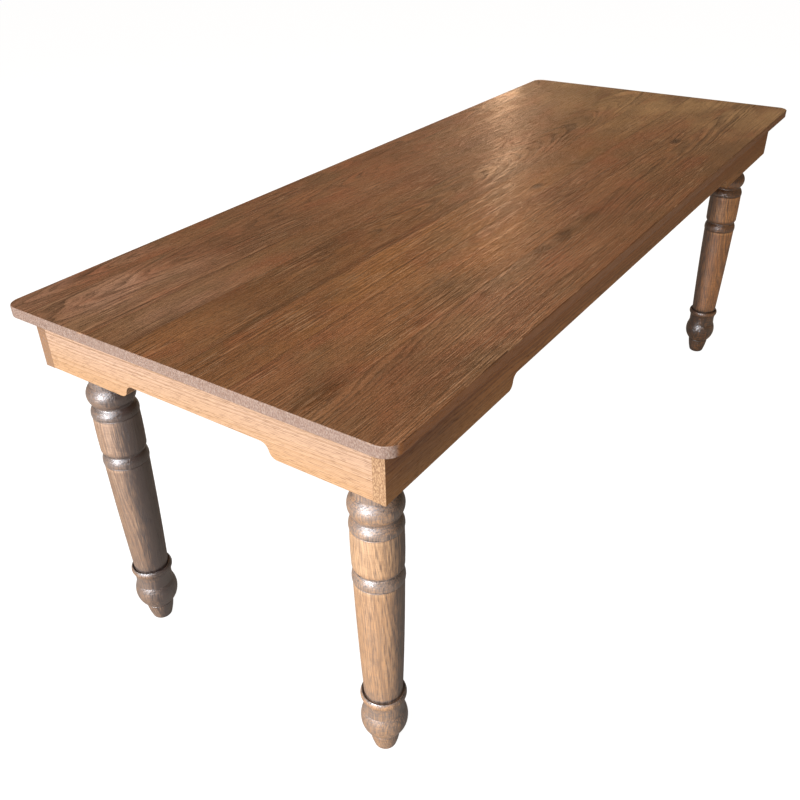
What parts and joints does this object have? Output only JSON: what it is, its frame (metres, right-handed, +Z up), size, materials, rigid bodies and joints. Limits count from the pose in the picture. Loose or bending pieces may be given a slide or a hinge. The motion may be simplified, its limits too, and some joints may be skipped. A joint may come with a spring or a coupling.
{
  "type": "refectory table",
  "caption": "Long oak refectory dining table: flat boarded top with rounded corners, box of aprons with a raised middle, and turned tapered legs with bulbs, rings and peg feet.",
  "frame": {"origin": "on the floor under the middle of the top", "axes": "+Z up, +X along the table towards its right end, -Y out of the front long side"},
  "size_m": [2.02, 0.8, 0.762],
  "materials": {
    "stained_oak_top": "satin",
    "stained_oak_apron": "satin",
    "stained_oak_leg": "satin",
    "raw_oak": "matte",
    "beech": "matte",
    "zinc_steel": "satin"
  },
  "bodies": {
    "root": {"top_board_1": "stained_oak_top", "top_board_2": "stained_oak_top", "top_board_3": "stained_oak_top", "top_board_4": "stained_oak_top", "top_board_5": "stained_oak_top", "top_board_6": "stained_oak_top", "top_board_7": "stained_oak_top", "front_apron": "stained_oak_apron", "back_apron": "stained_oak_apron", "left_end_apron": "stained_oak_apron", "right_end_apron": "stained_oak_apron", "leg_front_left": "stained_oak_leg", "corner_brace_front_left": "raw_oak", "leg_front_right": "stained_oak_leg", "corner_brace_front_right": "raw_oak", "leg_back_right": "stained_oak_leg", "corner_brace_back_right": "raw_oak", "leg_back_left": "stained_oak_leg", "corner_brace_back_left": "raw_oak", "cross_bearer_1": "raw_oak", "cross_bearer_2": "raw_oak", "cross_bearer_3": "raw_oak", "top_buttons": "raw_oak", "apron_dowels": "beech", "hanger_bolts": "zinc_steel", "brace_washers": "zinc_steel", "brace_nuts": "zinc_steel", "bearer_screws": "zinc_steel", "button_screws": "zinc_steel", "brace_screws": "zinc_steel"}
  },
  "joints": []
}
